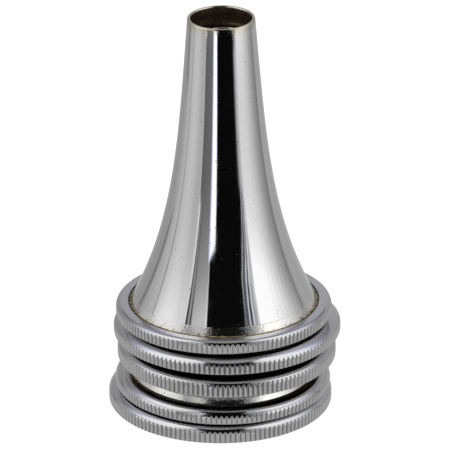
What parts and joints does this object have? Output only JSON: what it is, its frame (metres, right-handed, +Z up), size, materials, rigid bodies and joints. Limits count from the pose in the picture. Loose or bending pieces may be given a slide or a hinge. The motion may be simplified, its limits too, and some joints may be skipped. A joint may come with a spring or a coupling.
{
  "type": "ear speculum nest",
  "caption": "Nest of polished trumpet-shaped ear specula with graded bores and knurled grip rims, standing tips up.",
  "frame": {"origin": "centre of the bottom rim's flat lower face, on that rim's axis", "axes": "+Z up through the funnels towards their tips; X is the direction in which the loose nest leans and shifts, with +X to the right in the picture; the picture's camera stands on the -Y side"},
  "size_m": [0.0273, 0.0266, 0.0477],
  "materials": {
    "plated_funnel": "polished bright plate on spun brass, browned inside",
    "plated_rim": "bright plate on turned brass, straight knurl slightly dulled",
    "brass_solder": "brass-coloured solder seam, tarnished"
  },
  "bodies": {
    "speculum_top": {"funnel_top": "plated_funnel", "rim_top": "plated_rim", "seam_top": "brass_solder"},
    "speculum_upper": {"funnel_upper": "plated_funnel", "rim_upper": "plated_rim", "seam_upper": "brass_solder"},
    "speculum_middle": {"funnel_middle": "plated_funnel", "rim_middle": "plated_rim", "seam_middle": "brass_solder"},
    "speculum_lower": {"funnel_lower": "plated_funnel", "rim_lower": "plated_rim", "seam_lower": "brass_solder"},
    "speculum_bottom": {"funnel_bottom": "plated_funnel", "rim_bottom": "plated_rim", "seam_bottom": "brass_solder"}
  },
  "joints": [
    {"name": "lift_top", "type": "slide", "parent": "speculum_upper", "child": "speculum_top", "axis": [0, 0, 1], "range_m": [0, 0.036]},
    {"name": "lift_upper", "type": "slide", "parent": "speculum_middle", "child": "speculum_upper", "axis": [0, 0, 1], "range_m": [0, 0.036]},
    {"name": "lift_middle", "type": "slide", "parent": "speculum_lower", "child": "speculum_middle", "axis": [0, 0, 1], "range_m": [0, 0.036]},
    {"name": "lift_lower", "type": "slide", "parent": "speculum_bottom", "child": "speculum_lower", "axis": [0, 0, 1], "range_m": [0, 0.036]}
  ]
}
